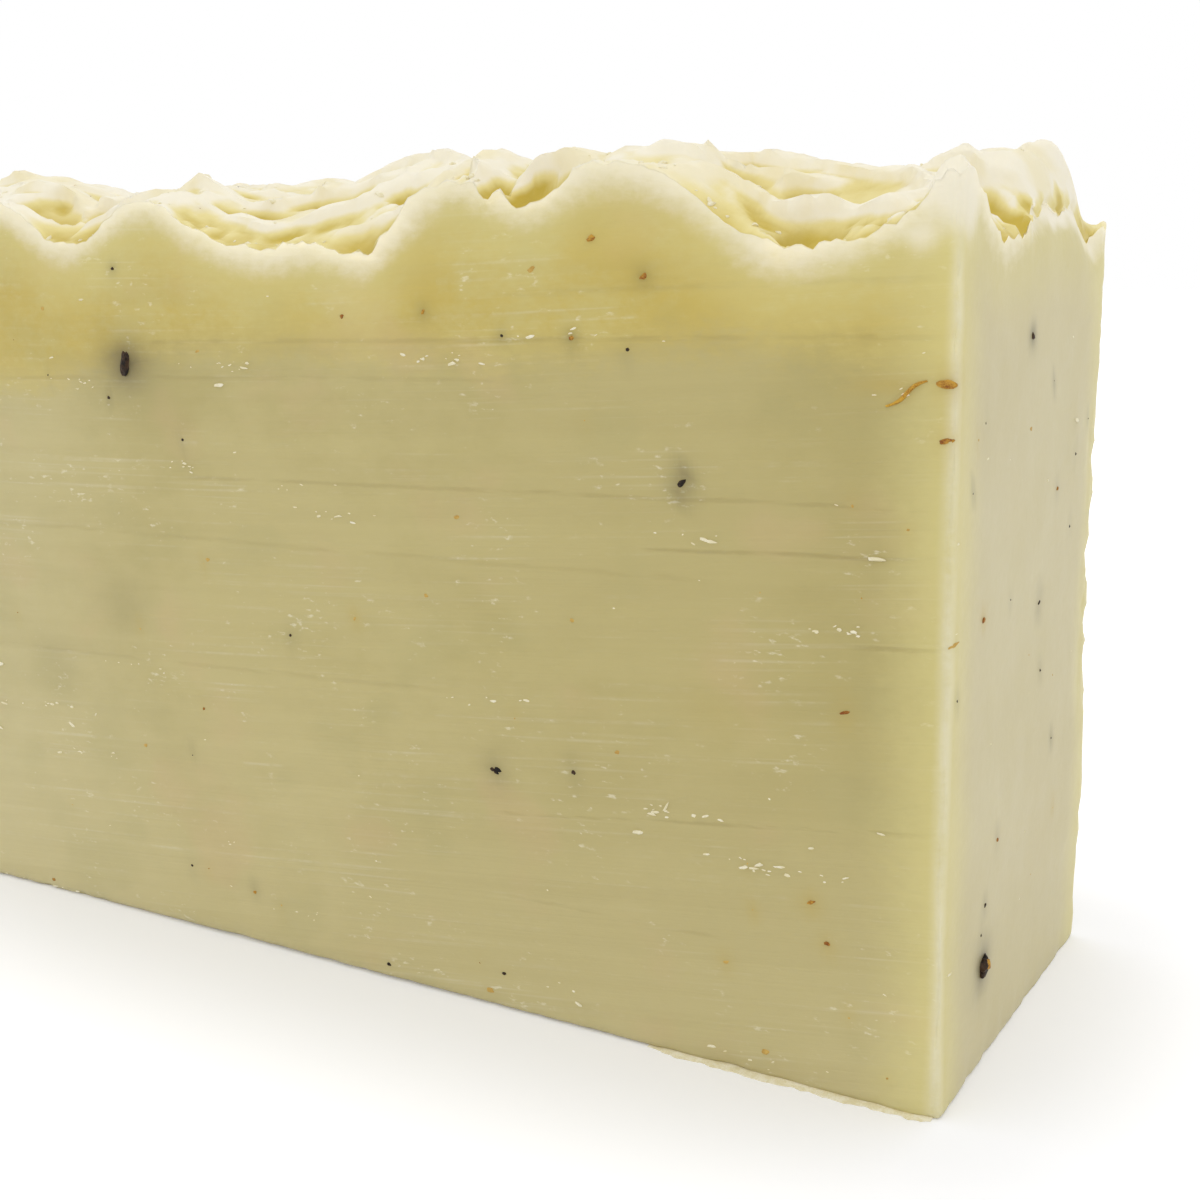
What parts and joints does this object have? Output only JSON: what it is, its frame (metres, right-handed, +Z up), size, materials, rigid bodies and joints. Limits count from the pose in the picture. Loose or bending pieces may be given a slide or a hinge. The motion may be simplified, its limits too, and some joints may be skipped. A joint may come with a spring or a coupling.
{
  "type": "bar of soap",
  "caption": "Hand-cut bar of handmade soap with a rough spooned top, flat cut faces and a flat base to stand on.",
  "frame": {"origin": "middle of the flat base, on the surface that the bar stands on", "axes": "+X along the bar between its two mould-wall ends, +Y through its thickness from the front cut face to the back one, +Z up"},
  "size_m": [0.09, 0.032, 0.0596],
  "materials": {
    "soap": "waxy, slightly translucent olive-cream soap with fine blade marks and scattered herb flecks"
  },
  "bodies": {
    "root": {"soap_bar": "soap"}
  },
  "joints": []
}
